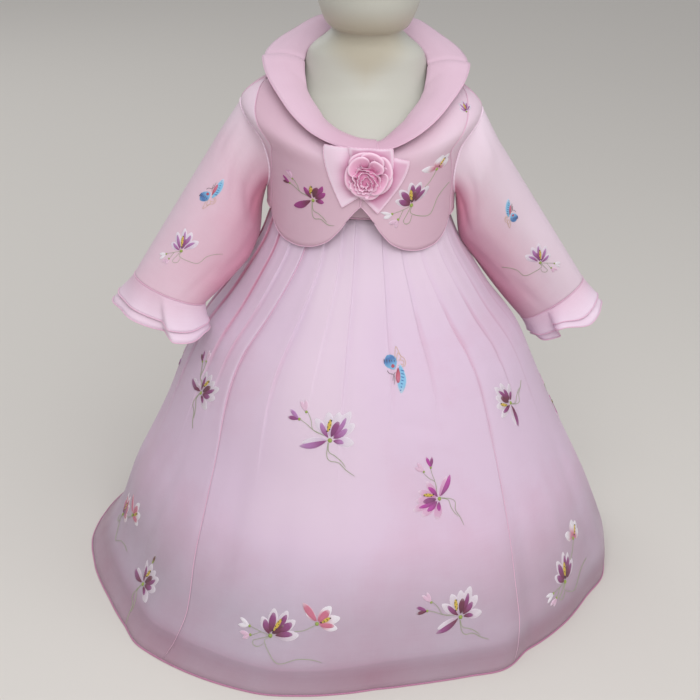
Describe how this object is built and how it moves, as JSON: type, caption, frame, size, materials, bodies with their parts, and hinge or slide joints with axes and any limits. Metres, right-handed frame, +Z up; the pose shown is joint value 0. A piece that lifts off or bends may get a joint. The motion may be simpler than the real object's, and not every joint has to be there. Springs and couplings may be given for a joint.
{
  "type": "child's hanbok on a display form",
  "caption": "Toddler's hanbok of short ruffled jacket with shawl collar and rose corsage over a pleated full-length dress, on a plain display form with a round base.",
  "frame": {"origin": "on the floor, in the middle of the skirt's hem and of the form's base", "axes": "+Z up, -Y the way the wearer faces, +X the viewer's right from in front"},
  "size_m": [0.5737, 0.5639, 0.757],
  "materials": {
    "organza": "sheer pink organza over a pink lining, embroidered",
    "lining": "plain opaque pink lining",
    "collar": "faced organza collar with a narrow bound edge",
    "ruffle": "doubled organza ruffles",
    "ribbon": "organza ribbon",
    "form": "smooth off-white display form",
    "steel": "plain steel pole and base"
  },
  "bodies": {
    "root": {"form_body": "form", "form_pole": "steel", "form_base": "steel", "dress_bodice": "organza", "skirt_front": "organza", "skirt_side_left": "organza", "skirt_side_right": "organza", "skirt_back": "organza", "skirt_lining": "lining", "jacket_front_left": "organza", "jacket_front_right": "organza", "jacket_side_left": "organza", "jacket_side_right": "organza", "jacket_back": "organza", "sleeve_left": "organza", "sleeve_right": "organza", "collar_left": "collar", "collar_right": "collar", "ruffle_upper_left": "ruffle", "ruffle_upper_right": "ruffle", "ruffle_lower_left": "ruffle", "ruffle_lower_right": "ruffle", "rose_core": "ribbon", "rose_petals": "ribbon", "leaf_left": "ribbon", "leaf_right_high": "ribbon", "leaf_right_low": "ribbon"}
  },
  "joints": []
}
